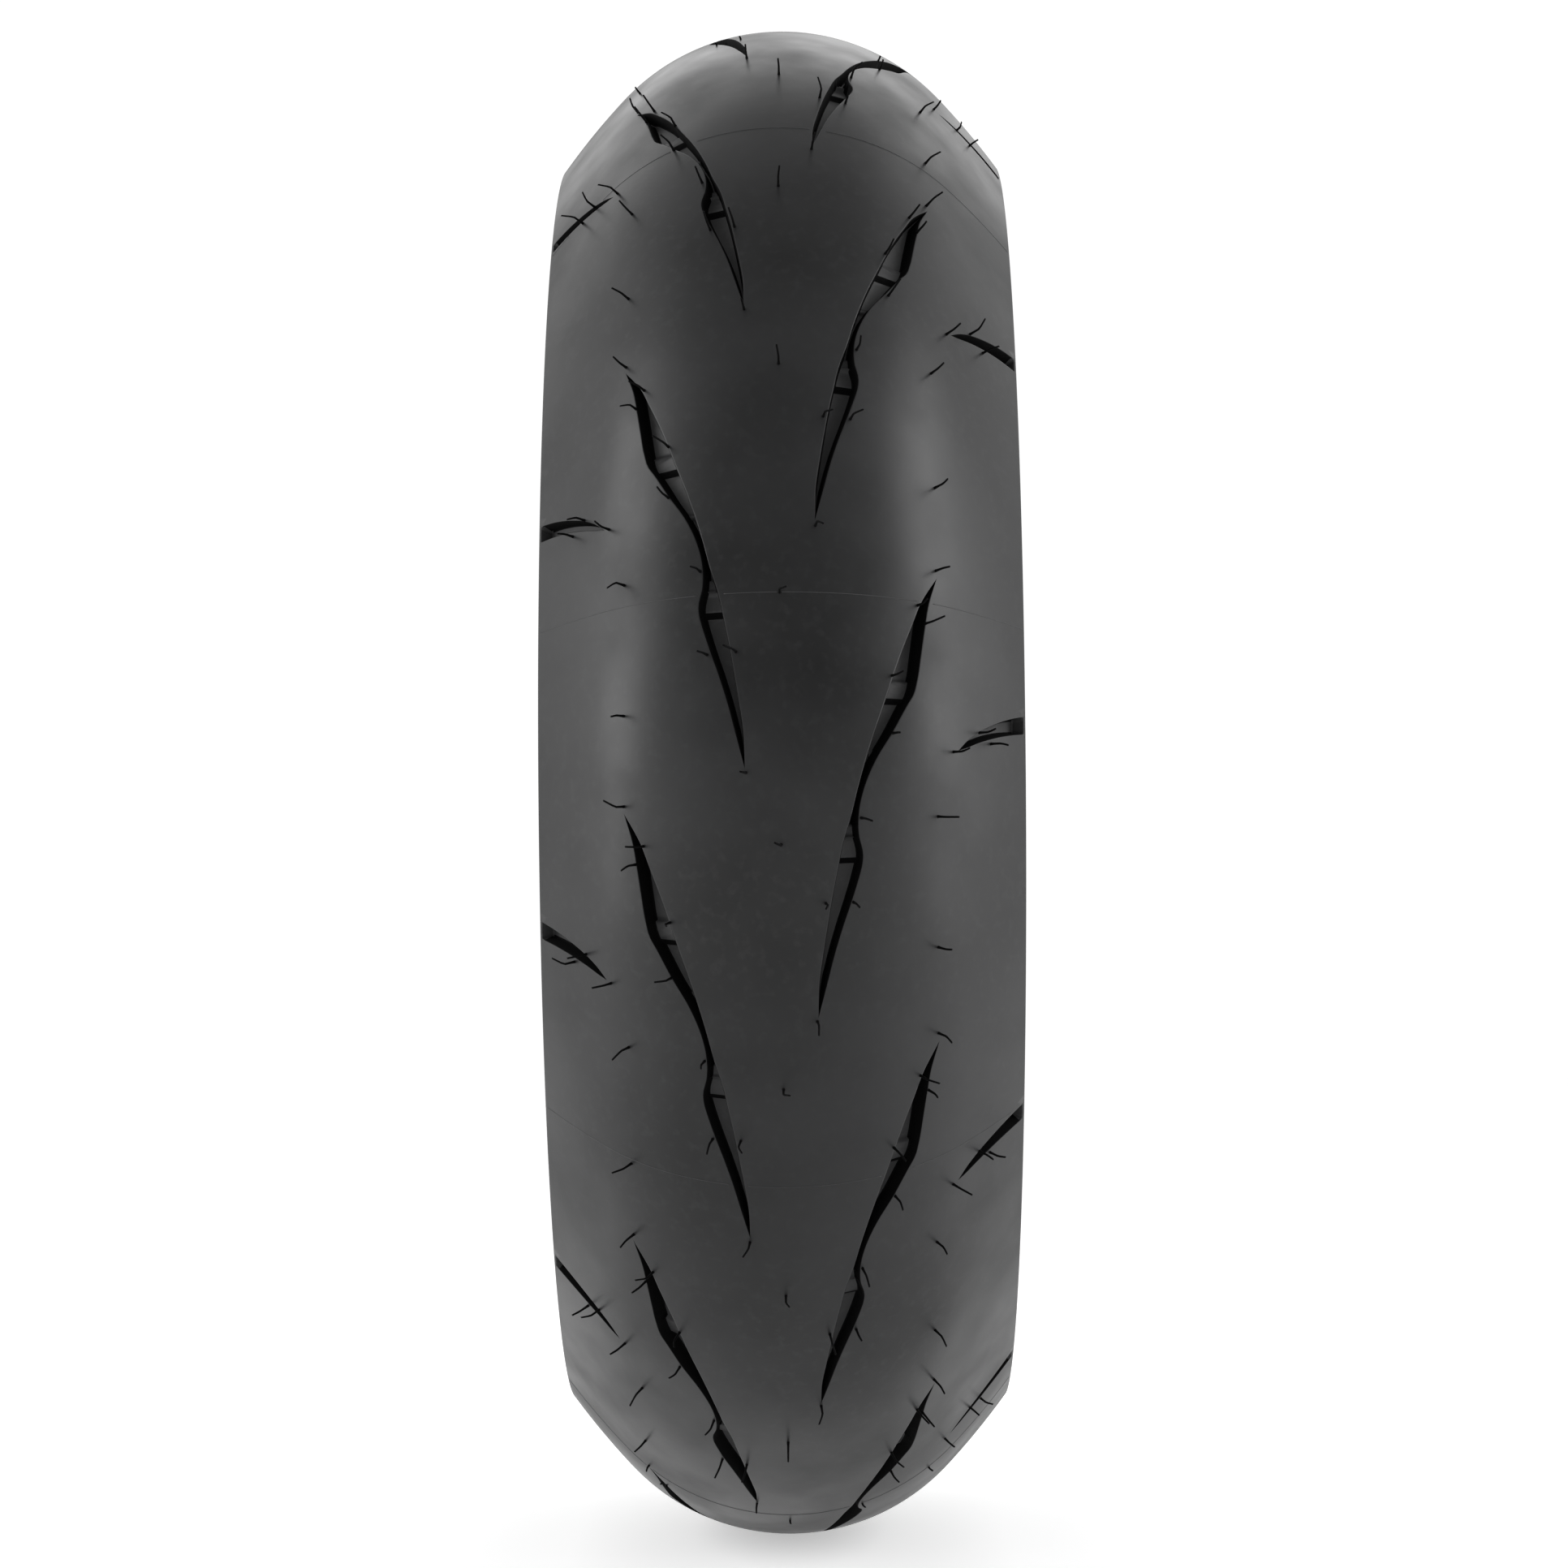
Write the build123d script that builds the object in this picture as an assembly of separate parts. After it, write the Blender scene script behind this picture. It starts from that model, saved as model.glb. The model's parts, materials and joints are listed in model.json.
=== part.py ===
from build123d import *
import os
from math import acos, atan2, cos, degrees, hypot, radians, sin, tan

# A rear radial motorcycle tire, size 180/55 R17, off its rim.
# Millimetres. The axle is the Y axis, the wheel centre is the origin and +Z is up.
# The cross-section is drawn with x = place along the axle and y = radius, then turned round the axle.
# "Left" is the -Y side and "right" is the +Y side.

# ---- driving sizes -------------------------------------------------------------------------------
OUTER_RADIUS = 314.9            # 17 inch rim, 99 mm section height
CROWN_RADIUS = 89.8             # tread arc across the middle
CROWN_TURN = 46.24              # degrees from straight up where the flatter shoulder arc takes over
SHOULDER_RADIUS = 296.0
TREAD_HALF_ARC = 110.1          # from the middle of the tread to its edge, along the surface
BEAD_SEAT_RADIUS = 215.9        # 17 inch rim, 431.8 mm across the bead seats
RIM_HALF_WIDTH = 69.85          # 5.50 inch rim

TREAD_CAP = 6.8                 # thicknesses, from the road inwards
TREAD_BASE = 0.7
BELT = 1.8                      # the skim rubber that the belt cords lie in
FLIPPER = 0.6
PLY = 0.8
LINER = 0.9
CHAFER = 0.7

COMPOUND_EDGE = 47.0            # arc from the middle where the softer shoulder compound starts
BELT_EDGE_TURN = 49.3           # degrees from straight up to the edge of the belt
CARCASS_TURN = 51.0             # where the tread base ends and the carcass bends down into the sidewall
CARCASS_BEND = 15.0

CORD_RADIUS = 0.45              # steel belt cord, to the corners of its six sides
CORD_SIDES = 6
CORD_PITCH = 3.0
WIRE_RADIUS = 0.55              # bead wire, to the corners of its eight sides
WIRE_SIDES = 8
WIRE_PITCH = 1.32
WIRES_ACROSS = 5
WIRES_HIGH = 4

PITCHES = 11                    # pattern repeats round each side
PITCH_ANGLE = 360 / PITCHES
LEFT_TIP_ANGLE = -4.35          # from +X towards +Z, to the outer tip of one groove
RIGHT_TIP_ANGLE = LEFT_TIP_ANGLE + PITCH_ANGLE / 2
GROOVE_DEPTH = 6.0
GROOVE_TIP_DEPTH = 3.0
WEAR_BAR_HEIGHT = 1.1
SLOT_DEPTH = 5.0
WALL_DRAFT = 5.0                # degrees, of the walls of grooves and slots
FLOOR_SHARE = 0.5               # least width of a floor, as a share of the width at the surface
CUTTER_RISE = 3.0               # how far a cutter stands clear of the tread

# Long groove: place round the tread from its outer tip, then its inner and outer edge from the middle.
GROOVE_STATIONS = (
    (1.0, 58.9, 60.6),
    (12.0, 52.7, 56.5),
    (28.0, 45.8, 53.6),
    (44.0, 39.8, 50.4),
    (52.0, 36.9, 45.8),
    (66.0, 31.6, 37.0),
    (80.0, 27.6, 30.0),
    (92.0, 24.4, 27.6),
    (104.0, 21.0, 29.6),
    (112.0, 19.4, 27.8),
    (130.0, 16.1, 21.8),
    (148.0, 13.5, 16.7),
    (161.0, 12.2, 13.5),
)

# Raised stretches of the groove's floor: start and end round the tread, then inner and outer arc.
WEAR_BARS = (
    (40.5, 47.0, 35.0, 52.5),
    (98.0, 105.5, 17.5, 31.5),
)

# Shoulder slot: arc from the middle of the tread, then its two edges round the tread from the same tip.
# It stops just short of the tread edge.
SLOT_STATIONS = (
    (71.5, 65.0, 66.3),
    (80.0, 59.2, 63.0),
    (90.0, 54.8, 60.5),
    (100.0, 51.6, 58.6),
    (109.3, 49.5, 57.5),
)

# ---- cross-section: arcs joined by tangent straight runs ------------------------------------------
# An arc is (centre, radius, first angle, last angle). Angles are in degrees from straight up towards
# the right. A hollow arc, whose centre is on its outer side, has a negative radius, so that adding an
# offset to every radius moves the whole run sideways.

CROWN_CENTRE = Vector(0, OUTER_RADIUS - CROWN_RADIUS)


def outward(angle):
    return Vector(sin(radians(angle)), cos(radians(angle)))


SHOULDER_CENTRE = CROWN_CENTRE - outward(CROWN_TURN) * (SHOULDER_RADIUS - CROWN_RADIUS)
CROWN_ARC = CROWN_RADIUS * radians(CROWN_TURN)
EDGE_TURN = CROWN_TURN + degrees((TREAD_HALF_ARC - CROWN_ARC) / SHOULDER_RADIUS)


def tangent_angle(first, second):
    """Angle of the normal of the straight run that leaves one bend and meets the next."""
    (c1, r1), (c2, r2) = first, second
    way = c2 - c1
    bearing = degrees(atan2(way.X, way.Y))
    return bearing - degrees(acos((r1 - r2) / way.length))


def wrap(angle):
    return (angle + 180) % 360 - 180


def arcs_through(bends, first, last):
    """Bends as (centre, radius), to arcs that tangent runs join, from the first angle to the last."""
    turns = [wrap(tangent_angle(a, b)) for a, b in zip(bends, bends[1:])]
    turns = [first] + turns + [last]
    return [(c, r, turns[i], turns[i + 1]) for i, (c, r) in enumerate(bends)]


def on_arc(arc, angle, offset):
    centre, radius = arc[0], arc[1]
    return centre + outward(angle) * (radius + offset)


def trace(arcs, offset=0.0):
    """The edges of a run of arcs, moved outward by the offset."""
    edges = []
    for arc in arcs:
        first, last = arc[2], arc[3]
        start, end = on_arc(arc, first, offset), on_arc(arc, last, offset)
        if edges and (edges[-1] @ 1 - start).length > 1e-4:
            edges.append(Line(edges[-1] @ 1, start))
        edges.append(ThreePointArc(start, on_arc(arc, (first + last) / 2, offset), end))
    return edges


def closed(edges):
    """A face inside a run of edges, shut by a straight line where they don't already meet."""
    start, end = edges[0] @ 0, edges[-1] @ 1
    if (end - start).length > 1e-4:
        edges = edges + [Line(end, start)]
    return make_face(edges)


def backwards(edges):
    """The same run of lines and arcs, followed from its other end."""
    return [Line(e @ 1, e @ 0) if e.geom_type == GeomType.LINE else ThreePointArc(e @ 1, e @ 0.5, e @ 0)
            for e in reversed(edges)]


def band(arcs, outer, inner):
    """The face between two offsets of one run."""
    far, near = trace(arcs, outer), backwards(trace(arcs, inner))
    return closed(far + [Line(far[-1] @ 1, near[0] @ 0)] + near)


def turned(face, first=0.0, last=-360.0):
    """A cross-section face, turned round the axle between two angles from +X towards +Z."""
    start = Plane(origin=(0, 0, 0), x_dir=(0, 1, 0),
                  z_dir=(sin(radians(first)), 0, -cos(radians(first))))
    return revolve(start * face, axis=Axis.Y, revolution_arc=first - last)


def cut_by(blank, cutters):
    for cutter in cutters:
        blank = blank - cutter
    return blank


def left_of(face):
    return mirror(face, about=Plane.YZ)


def both_halves(half):
    return half + left_of(half)


# ---- carcass: plies and liner, from the crown down round the bead -------------------------------
# The carcass run is measured from the skin of the bead bundle, so that offset 0 touches the bundle.
# From there inwards lie the flipper, the outer ply, the inner ply and then the liner or the chafer.
PLY_OUTER_FACE = -FLIPPER
PLY_MIDDLE = PLY_OUTER_FACE - PLY
PLY_INNER_FACE = PLY_MIDDLE - PLY
CAVITY_FACE = PLY_INNER_FACE - LINER
CHAFER_FACE = PLY_INNER_FACE - CHAFER
BELT_DEPTH = TREAD_CAP + TREAD_BASE
RUN_DEPTH = BELT_DEPTH + BELT + PLY_OUTER_FACE     # depth of offset 0 below the road surface

BUNDLE_CORNER = 1.2
BUNDLE_INSIDE = 57.3
BUNDLE_OUTSIDE = 64.4
BUNDLE_BOTTOM = 220.9
BUNDLE_TOP = 226.8
BEAD_BEND = 8.0
FLANGE_BEND = 10.0
FLANGE_BEND_HEIGHT = 228.5
APEX_TAIL = 0.4

crown = (CROWN_CENTRE, CROWN_RADIUS - RUN_DEPTH, 0.0, CROWN_TURN)
shoulder = (SHOULDER_CENTRE, SHOULDER_RADIUS - RUN_DEPTH, CROWN_TURN, CARCASS_TURN)
carcass_bend = (on_arc(shoulder, CARCASS_TURN, -CARCASS_BEND), CARCASS_BEND)
flange_centre = Vector(RIM_HALF_WIDTH + FLANGE_BEND, FLANGE_BEND_HEIGHT)
wall_bends = [
    carcass_bend,
    (Vector(BUNDLE_INSIDE + BEAD_BEND, BUNDLE_TOP), -BEAD_BEND),
    (Vector(BUNDLE_INSIDE + BUNDLE_CORNER, BUNDLE_BOTTOM + BUNDLE_CORNER), -BUNDLE_CORNER),
    (Vector(BUNDLE_OUTSIDE - BUNDLE_CORNER, BUNDLE_BOTTOM + BUNDLE_CORNER), -BUNDLE_CORNER),
    (flange_centre, flange_centre.X - BUNDLE_OUTSIDE),
    (carcass_bend[0], 2 * FLIPPER - APEX_TAIL - CARCASS_BEND),
]


def carcass_to(turn_up_end):
    """The run from the middle of the crown, down the wall, round the bead and up to an angle."""
    return [crown, shoulder] + arcs_through(wall_bends, CARCASS_TURN, turn_up_end)


OUTER_PLY_END = -82.0
INNER_PLY_END = -68.0
CHAFER_END = -62.0
full_run = carcass_to(OUTER_PLY_END)
main_wall, main_bead, bead_inner, bead_outer, turn_up = full_run[2:7]

# ---- outline of the whole section, right half -----------------------------------------------------
BULGE_RADIUS = 38.0
BULGE_TOP_TURN = 108.0
HEEL_RADIUS = 6.5
SEAT_LENGTH = 10.0
TOE = Vector(50.3, 217.0)
TOE_ROUND = Vector(50.5, 216.0)
TOE_UNDERSIDE = Vector(51.3, 215.6)
LINER_END = 100.0
TREAD_WING_TURN = 121.0         # on the bulge, where the tread compound ends
WING_ROOT_TURN = 98.0           # the same seam on the carcass

tread_edge = SHOULDER_CENTRE + outward(EDGE_TURN) * SHOULDER_RADIUS
bulge_centre = tread_edge - outward(BULGE_TOP_TURN) * BULGE_RADIUS
heel_centre = Vector(RIM_HALF_WIDTH - HEEL_RADIUS, BEAD_SEAT_RADIUS + HEEL_RADIUS)
outside_arcs = arcs_through(
    [(bulge_centre, BULGE_RADIUS), (flange_centre, -FLANGE_BEND), (heel_centre, HEEL_RADIUS)],
    BULGE_TOP_TURN, 180.0)
seat_end = Vector(heel_centre.X - SEAT_LENGTH, BEAD_SEAT_RADIUS)
bead_top = main_bead[:3] + (LINER_END,)
bead_side = main_bead[:2] + (LINER_END, 90.0)


def road_arcs(first=0.0, last=EDGE_TURN):
    """The road surface between two angles from the middle of the tread."""
    arcs = []
    if first < CROWN_TURN:
        arcs.append((CROWN_CENTRE, CROWN_RADIUS, first, min(last, CROWN_TURN)))
    if last > CROWN_TURN:
        arcs.append((SHOULDER_CENTRE, SHOULDER_RADIUS, max(first, CROWN_TURN), last))
    return arcs


def crown_band(top, bottom, first, last):
    """The face between two depths below the road surface."""
    return band(road_arcs(first, last), -top, -bottom)


def half_section():
    """Everything from the road to the cavity, right of the middle of the tread."""
    cavity = backwards(trace([crown, shoulder, main_wall, bead_top], CAVITY_FACE))
    outside = trace(road_arcs()) + trace(outside_arcs)
    seat = [
        Line(outside[-1] @ 1, seat_end),
        Line(seat_end, TOE_UNDERSIDE),
        ThreePointArc(TOE_UNDERSIDE, TOE_ROUND, TOE),
        Line(TOE, cavity[0] @ 0),
    ]
    return closed(outside + seat + cavity)


def rounded_bundle():
    left, right = BUNDLE_INSIDE + BUNDLE_CORNER, BUNDLE_OUTSIDE - BUNDLE_CORNER
    bottom, top = BUNDLE_BOTTOM + BUNDLE_CORNER, BUNDLE_TOP - BUNDLE_CORNER
    corners = [
        (Vector(left, bottom), -BUNDLE_CORNER, 90.0, 0.0),
        (Vector(right, bottom), -BUNDLE_CORNER, 0.0, -90.0),
        (Vector(right, top), -BUNDLE_CORNER, -90.0, -180.0),
        (Vector(left, top), -BUNDLE_CORNER, -180.0, -270.0),
    ]
    return closed(trace(corners))


def spread(count, pitch):
    """Even places either side of 0."""
    return [(i - (count - 1) / 2) * pitch for i in range(count)]


def wire_sections():
    across, up = (BUNDLE_INSIDE + BUNDLE_OUTSIDE) / 2, (BUNDLE_BOTTOM + BUNDLE_TOP) / 2
    wire = RegularPolygon(WIRE_RADIUS, WIRE_SIDES)
    return [
        Pos(across + x, up + y) * wire
        for x in spread(WIRES_ACROSS, WIRE_PITCH) for y in spread(WIRES_HIGH, WIRE_PITCH)
    ]


def surface_normal(arc):
    """Centre, radius and normal's angle at an arc from the middle, on the right of the road surface."""
    if arc <= CROWN_ARC:
        return CROWN_CENTRE, CROWN_RADIUS, degrees(arc / CROWN_RADIUS)
    return SHOULDER_CENTRE, SHOULDER_RADIUS, CROWN_TURN + degrees((arc - CROWN_ARC) / SHOULDER_RADIUS)


def section_point(arc, depth):
    centre, radius, angle = surface_normal(arc)
    return centre + outward(angle) * (radius - depth)


def cord_section(arc):
    """A belt cord in the middle of the skim rubber."""
    place = section_point(arc, BELT_DEPTH + BELT / 2)
    turn = 180 / CORD_SIDES - surface_normal(arc)[2]
    return Pos(place.X, place.Y) * Rot(0, 0, turn) * RegularPolygon(CORD_RADIUS, CORD_SIDES)


def cord_sections():
    belt_edge_arc = CROWN_ARC + radians(BELT_EDGE_TURN - CROWN_TURN) * SHOULDER_RADIUS
    right = [cord_section(i * CORD_PITCH) for i in range(1, int(belt_edge_arc / CORD_PITCH))]
    return [left_of(cord) for cord in right] + [cord_section(0.0)] + right


# ---- faces of the section -------------------------------------------------------------------------
insulation = rounded_bundle()
flipper = band([main_bead, bead_inner, bead_outer, turn_up], 0.0, PLY_OUTER_FACE)
outer_ply = band(carcass_to(OUTER_PLY_END), PLY_OUTER_FACE, PLY_MIDDLE)
inner_ply = band(carcass_to(INNER_PLY_END), PLY_MIDDLE, PLY_INNER_FACE)
liner = band([crown, shoulder, main_wall, bead_top], PLY_INNER_FACE, CAVITY_FACE)
chafer = band([bead_side, bead_inner, bead_outer, turn_up[:3] + (CHAFER_END,)],
              PLY_INNER_FACE, CHAFER_FACE)
apex_loop = [main_wall[:2] + (OUTER_PLY_END + 180, main_wall[3])] + full_run[3:]
apex = closed(trace(apex_loop, PLY_OUTER_FACE)) - flipper - insulation

base = crown_band(TREAD_CAP, BELT_DEPTH, 0.0, CARCASS_TURN)
skim = crown_band(BELT_DEPTH, BELT_DEPTH + BELT, 0.0, BELT_EDGE_TURN)
belt_edge = crown_band(BELT_DEPTH, BELT_DEPTH + BELT, BELT_EDGE_TURN, CARCASS_TURN)
tread_middle = crown_band(0.0, TREAD_CAP, 0.0, surface_normal(COMPOUND_EDGE)[2])

inner_faces = [insulation, flipper, apex, outer_ply, inner_ply, liner, chafer,
               base, skim, belt_edge, tread_middle]
rubber = cut_by(half_section(), inner_faces)


def seam_zone(start, end, *rest):
    """A closed outline whose first side is a seam between two pieces, run on past both its ends."""
    reach = (end - start).normalized() * BULGE_RADIUS
    return make_face(Polyline(start - reach, end + reach, *rest, close=True))


ABOVE = OUTER_RADIUS + BULGE_RADIUS
BELOW = BEAD_SEAT_RADIUS - BULGE_RADIUS
wing_top = bulge_centre + outward(TREAD_WING_TURN) * BULGE_RADIUS
wing_root = on_arc(main_wall, WING_ROOT_TURN, PLY_OUTER_FACE)
above_wing = seam_zone(wing_top, wing_root, (0, wing_root.Y), (0, ABOVE), (ABOVE, ABOVE))
beside_flange = seam_zone(flange_centre, flange_centre + outward(CHAFER_END),
                          (BUNDLE_INSIDE / 2, BELOW), (ABOVE, BELOW))

tread_side = rubber & above_wing
rim_cushion = rubber & beside_flange
sidewall = rubber - above_wing - beside_flange


# ---- tread pattern --------------------------------------------------------------------------------
def tread_place(arc, along, depth, side, tip_angle):
    """A point by its arc from the middle, its way round from the groove's tip and its depth."""
    flat = section_point(arc, depth)
    turn = radians(tip_angle) - along / OUTER_RADIUS
    return Vector(flat.Y * cos(turn), side * flat.X, flat.Y * sin(turn))


def trough_section(first, second, depth, side, tip_angle):
    """The four corners of a groove or slot between places (arc, along) on its two edges."""
    (arc_1, along_1), (arc_2, along_2) = first, second
    width = hypot(arc_2 - arc_1, along_2 - along_1)
    draft = min(depth * tan(radians(WALL_DRAFT)) / width, (1 - FLOOR_SHARE) / 2)
    corners = [(0.0, -CUTTER_RISE), (draft, depth), (1 - draft, depth), (1.0, -CUTTER_RISE)]
    return Wire.make_polygon([
        tread_place(arc_1 + (arc_2 - arc_1) * share, along_1 + (along_2 - along_1) * share,
                    level, side, tip_angle)
        for share, level in corners
    ])


def wear_bar(bar, side, tip_angle):
    """What fills the bottom of the groove over a stretch of it, run past both walls."""
    start, end, inner, outer = bar
    top, bottom = GROOVE_DEPTH - WEAR_BAR_HEIGHT, GROOVE_DEPTH + CUTTER_RISE
    face = crown_band(top, bottom, degrees(inner / CROWN_RADIUS), degrees(outer / CROWN_RADIUS))
    if side < 0:
        face = left_of(face)
    first, last = degrees(start / OUTER_RADIUS), degrees(end / OUTER_RADIUS)
    return turned(face, tip_angle - first, tip_angle - last)


def groove_cutter(side, tip_angle):
    sections = []
    for along, inner, outer in GROOVE_STATIONS:
        at_tip = along in (GROOVE_STATIONS[0][0], GROOVE_STATIONS[-1][0])
        depth = GROOVE_TIP_DEPTH if at_tip else GROOVE_DEPTH
        sections.append(trough_section((inner, along), (outer, along), depth, side, tip_angle))
    cutter = Solid.make_loft(sections, ruled=True)
    return cut_by(cutter, [wear_bar(bar, side, tip_angle) for bar in WEAR_BARS])


def slot_cutter(side, tip_angle):
    sections = [
        trough_section((arc, upper), (arc, lower), SLOT_DEPTH, side, tip_angle)
        for arc, upper, lower in SLOT_STATIONS
    ]
    return Solid.make_loft(sections, ruled=True)


def pitches(first_tip_angle):
    return [first_tip_angle + i * PITCH_ANGLE for i in range(PITCHES)]


# ---- nodes ----------------------------------------------------------------------------------------
def tread_nodes():
    left_grooves = [groove_cutter(-1, a) for a in pitches(LEFT_TIP_ANGLE)]
    right_grooves = [groove_cutter(1, a) for a in pitches(RIGHT_TIP_ANGLE)]
    left_slots = [slot_cutter(-1, a) for a in pitches(LEFT_TIP_ANGLE)]
    right_slots = [slot_cutter(1, a) for a in pitches(RIGHT_TIP_ANGLE)]
    return {
        "tread_centre": cut_by(turned(both_halves(tread_middle)), left_grooves + right_grooves),
        "tread_shoulder_left": cut_by(turned(left_of(tread_side)), left_grooves + left_slots),
        "tread_shoulder_right": cut_by(turned(tread_side), right_grooves + right_slots),
    }


def belt_nodes():
    cords = cord_sections()
    return {
        "belt_skim": turned(cut_by(both_halves(skim), cords)),
        "belt_cords": Compound(children=[turned(cord) for cord in cords]),
    }


def bead_wires_right():
    return [turned(wire) for wire in wire_sections()]


across_nodes = {
    "tread_base": base,
    "body_ply_outer": outer_ply,
    "body_ply_inner": inner_ply,
    "inner_liner": liner,
}
side_nodes = {
    "belt_edge_strip": belt_edge,
    "bead_insulation": cut_by(insulation, wire_sections()),
    "bead_flipper": flipper,
    "apex": apex,
    "chafer": chafer,
    "rim_cushion": rim_cushion,
    "sidewall": sidewall,
}

nodes = tread_nodes() | belt_nodes()
for name, face in across_nodes.items():
    nodes[name] = turned(both_halves(face))
for name, face in side_nodes.items():
    nodes[name + "_right"] = turned(face)
    nodes[name + "_left"] = turned(left_of(face))
nodes["bead_wires_right"] = Compound(children=bead_wires_right())
nodes["bead_wires_left"] = Compound(children=[mirror(w, about=Plane.XZ) for w in bead_wires_right()])

os.makedirs("parts", exist_ok=True)
for name, shape in nodes.items():
    export_step(shape, f"parts/{name}.step")
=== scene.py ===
import json
import math
import random

import bmesh
import bpy
import numpy as np
from mathutils import Matrix, Vector
from mathutils.geometry import delaunay_2d_cdt


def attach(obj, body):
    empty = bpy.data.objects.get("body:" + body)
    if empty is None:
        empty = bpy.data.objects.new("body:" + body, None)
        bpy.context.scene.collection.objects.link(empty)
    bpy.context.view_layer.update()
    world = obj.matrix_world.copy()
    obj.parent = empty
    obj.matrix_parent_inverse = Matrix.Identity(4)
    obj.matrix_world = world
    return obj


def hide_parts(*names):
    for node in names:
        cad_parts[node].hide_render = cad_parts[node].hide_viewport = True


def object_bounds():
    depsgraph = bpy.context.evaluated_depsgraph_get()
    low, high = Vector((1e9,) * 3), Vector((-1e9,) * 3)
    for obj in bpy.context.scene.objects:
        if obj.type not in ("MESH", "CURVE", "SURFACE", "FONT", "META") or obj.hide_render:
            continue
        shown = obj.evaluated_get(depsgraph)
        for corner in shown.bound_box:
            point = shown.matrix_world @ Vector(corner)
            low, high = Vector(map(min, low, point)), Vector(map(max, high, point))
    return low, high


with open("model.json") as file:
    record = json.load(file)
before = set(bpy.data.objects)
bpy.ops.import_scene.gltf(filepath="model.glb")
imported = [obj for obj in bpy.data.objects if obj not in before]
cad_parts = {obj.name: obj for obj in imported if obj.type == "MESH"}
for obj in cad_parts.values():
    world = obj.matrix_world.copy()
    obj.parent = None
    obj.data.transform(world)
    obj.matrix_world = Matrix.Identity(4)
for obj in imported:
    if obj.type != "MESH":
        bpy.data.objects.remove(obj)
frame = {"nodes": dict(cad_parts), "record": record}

# A rear motorcycle tire, standing on its tread. The axle is Y, the wheel centre is the origin, +Z is up.
# Sizes of the tire are in millimetres and become metres in on_tire() and wherever else points are placed.

CAD_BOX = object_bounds()
floor_z = CAD_BOX[0][2]
MM = 0.001
random.seed(11)

# ---- the section, as in the CAD model -------------------------------------------------------------
OUTER_RADIUS = 314.9
CROWN_RADIUS = 89.8
CROWN_TURN = 46.24
SHOULDER_RADIUS = 296.0
EDGE_ARC = 110.1
BULGE_RADIUS = 38.0
BULGE_TOP_TURN = 108.0
WING_TURN = 121.0
RIM_HALF_WIDTH = 69.85
BEAD_SEAT_RADIUS = 215.9
HEEL_RADIUS = 6.5
SEAT_LENGTH = 10.0
FLANGE_BEND = 10.0
FLANGE_BEND_HEIGHT = 228.5
CUSHION_TURN = 118.0
TREAD_CAP = 6.8

PITCHES = 11
PITCH = 2 * math.pi * OUTER_RADIUS / PITCHES
LEFT_TIP = math.radians(-4.35)
RIGHT_TIP = LEFT_TIP + math.pi / PITCHES


def outward(degrees):
    angle = math.radians(degrees)
    return np.array([math.sin(angle), math.cos(angle)])


CROWN_CENTRE = np.array([0.0, OUTER_RADIUS - CROWN_RADIUS])
SHOULDER_CENTRE = CROWN_CENTRE - outward(CROWN_TURN) * (SHOULDER_RADIUS - CROWN_RADIUS)
CROWN_ARC = CROWN_RADIUS * math.radians(CROWN_TURN)
EDGE_TURN = CROWN_TURN + math.degrees((EDGE_ARC - CROWN_ARC) / SHOULDER_RADIUS)
EDGE = SHOULDER_CENTRE + outward(EDGE_TURN) * SHOULDER_RADIUS
BULGE_CENTRE = EDGE - outward(BULGE_TOP_TURN) * BULGE_RADIUS
LIP_ARC = EDGE_ARC + BULGE_RADIUS * math.radians(WING_TURN - BULGE_TOP_TURN)
FLANGE_CENTRE = np.array([RIM_HALF_WIDTH + FLANGE_BEND, FLANGE_BEND_HEIGHT])
HEEL_CENTRE = np.array([RIM_HALF_WIDTH - HEEL_RADIUS, BEAD_SEAT_RADIUS + HEEL_RADIUS])


def section_point(arc, depth=0.0):
    """(axle, radius) at an arc from the middle of the tread, and a depth below the surface."""
    if arc <= CROWN_ARC:
        centre, radius, turn = CROWN_CENTRE, CROWN_RADIUS, math.degrees(arc / CROWN_RADIUS)
    elif arc <= EDGE_ARC + 1e-6:
        centre, radius = SHOULDER_CENTRE, SHOULDER_RADIUS
        turn = CROWN_TURN + math.degrees((arc - CROWN_ARC) / SHOULDER_RADIUS)
    else:
        centre, radius = BULGE_CENTRE, BULGE_RADIUS
        turn = BULGE_TOP_TURN + math.degrees((arc - EDGE_ARC) / BULGE_RADIUS)
    return centre + outward(turn) * (radius - depth)


def on_tire(arc, along, depth, side, tip):
    """A point in metres. along runs round the tread from a groove's outer tip, at an angle tip."""
    axle, radius = section_point(arc, depth)
    turn = tip - along / OUTER_RADIUS
    return Vector((radius * math.cos(turn), side * axle, radius * math.sin(turn))) * MM


# ---- tread pattern, one pitch of one side ---------------------------------------------------------
# Edges of the long groove: (way round from its outer tip, arc from the middle of the tread).
GROOVE_OUTER = (
    (-0.5, 60.8), (10, 57.0), (20, 55.0), (30, 53.3), (40, 51.5), (45.5, 49.9), (50, 47.0), (60, 41.0),
    (70, 34.5), (80, 30.0), (90, 27.8), (97, 27.9), (104, 29.4), (108, 29.0), (112, 27.9), (120, 25.3),
    (130, 21.8), (140, 18.7), (150, 16.1), (163, 12.7),
)
GROOVE_INNER = (
    (-0.5, 60.8), (10, 53.7), (20, 49.3), (30, 45.0), (40, 41.2), (50, 37.6), (60, 33.9), (68, 31.2),
    (80, 27.6), (90, 25.0), (100, 21.9), (110, 19.8), (120, 17.8), (130, 16.1), (140, 14.5), (150, 13.1),
    (163, 12.7),
)
GROOVE_DEPTH = 6.0
WEAR_BARS = ((40.5, 47.0), (98.0, 105.5))
WEAR_BAR_HEIGHT = 1.5
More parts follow.
